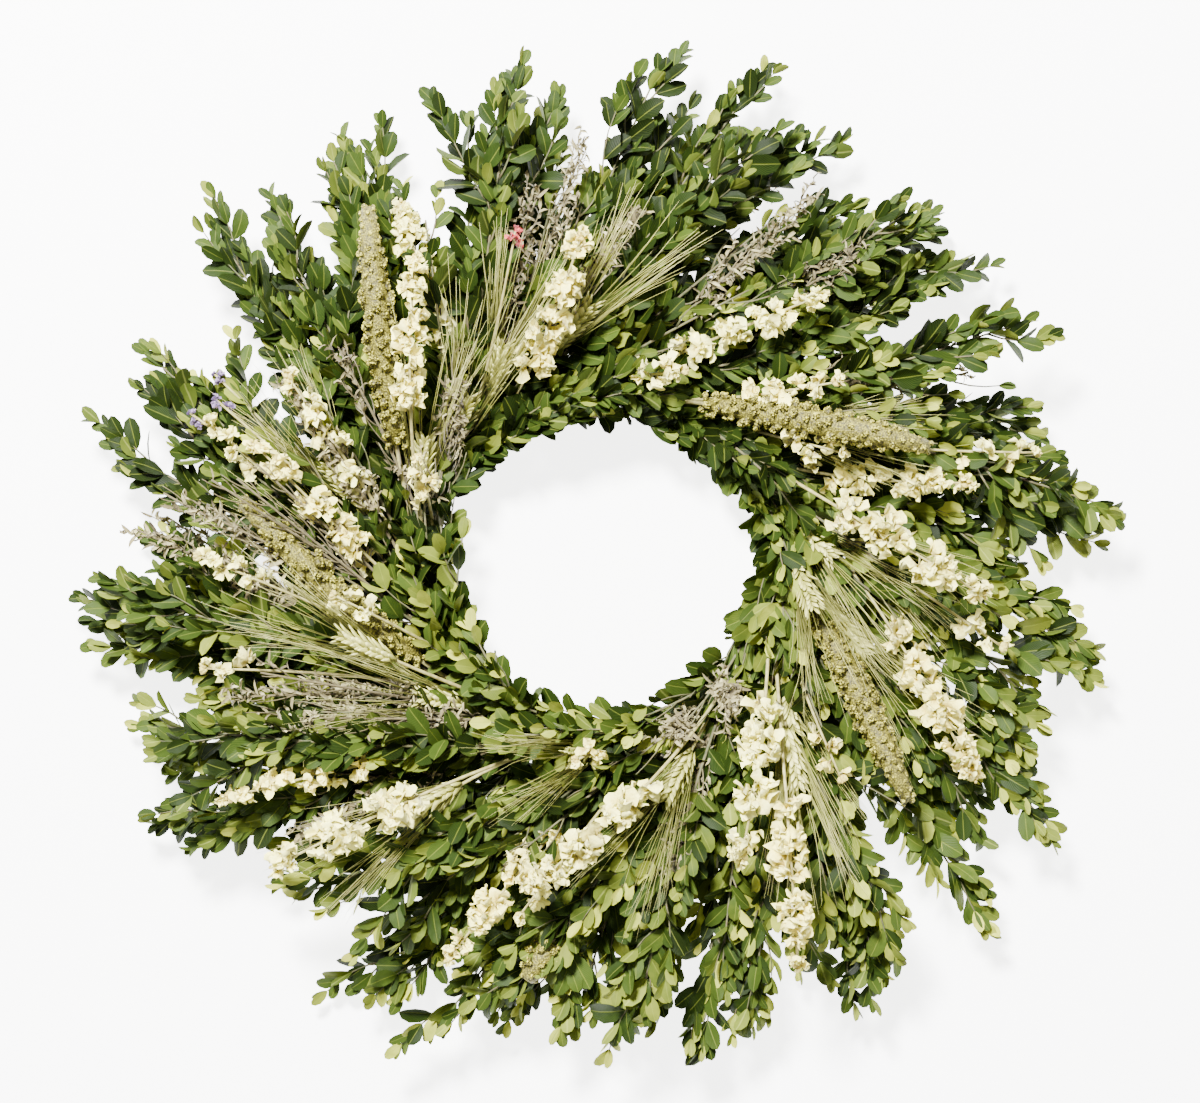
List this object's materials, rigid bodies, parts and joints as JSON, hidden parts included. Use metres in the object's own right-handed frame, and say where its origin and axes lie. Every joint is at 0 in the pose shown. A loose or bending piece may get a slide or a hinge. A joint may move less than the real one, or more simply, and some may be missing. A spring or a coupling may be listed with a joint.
{
  "type": "boxwood wreath with dried flowers and grain",
  "caption": "Round door wreath of boxwood sprays with dried larkspur, bearded wheat, millet and artemisia, clamped on a wire ring.",
  "frame": {"origin": "below the middle of the whole wreath, on the surface that it lies on", "axes": "+Z out of the face of the wreath, +Y to the top of the wreath as it is seen, +X to the right"},
  "size_m": [0.6014, 0.5682, 0.1113],
  "materials": {
    "wire": "satin dark green enamel on steel wire",
    "boxwood": "leathery dark to yellow-green leaves with a soft gloss",
    "larkspur_cream": "papery dried petals, cream",
    "larkspur_peach": "papery dried petals, cream to peach",
    "wheat": "matte pale green straw",
    "millet": "matte green-gold grain",
    "artemisia": "felty silver-grey dried leaf"
  },
  "bodies": {
    "root": {"wire_frame": "wire", "boxwood_01": "boxwood", "boxwood_02": "boxwood", "boxwood_03": "boxwood", "boxwood_04": "boxwood", "boxwood_05": "boxwood", "boxwood_06": "boxwood", "boxwood_07": "boxwood", "boxwood_08": "boxwood", "boxwood_09": "boxwood", "boxwood_10": "boxwood", "boxwood_11": "boxwood", "boxwood_12": "boxwood", "boxwood_13": "boxwood", "boxwood_14": "boxwood", "boxwood_15": "boxwood", "boxwood_16": "boxwood", "boxwood_17": "boxwood", "boxwood_18": "boxwood", "boxwood_19": "boxwood", "boxwood_20": "boxwood", "boxwood_21": "boxwood", "boxwood_22": "boxwood", "boxwood_23": "boxwood", "boxwood_24": "boxwood", "boxwood_25": "boxwood", "boxwood_26": "boxwood", "boxwood_27": "boxwood", "larkspur_01": "larkspur_peach", "larkspur_02": "larkspur_cream", "larkspur_03": "larkspur_peach", "larkspur_04": "larkspur_cream", "larkspur_05": "larkspur_peach", "larkspur_06": "larkspur_cream", "larkspur_07": "larkspur_peach", "larkspur_08": "larkspur_cream", "larkspur_09": "larkspur_peach", "larkspur_10": "larkspur_cream", "larkspur_11": "larkspur_peach", "larkspur_12": "larkspur_cream", "larkspur_13": "larkspur_peach", "wheat_01": "wheat", "wheat_02": "wheat", "wheat_03": "wheat", "wheat_04": "wheat", "wheat_05": "wheat", "wheat_06": "wheat", "wheat_07": "wheat", "wheat_08": "wheat", "wheat_09": "wheat", "millet_01": "millet", "millet_02": "millet", "millet_03": "millet", "millet_04": "millet", "artemisia_01": "artemisia", "artemisia_02": "artemisia", "artemisia_03": "artemisia", "artemisia_04": "artemisia", "artemisia_05": "artemisia"}
  },
  "joints": []
}
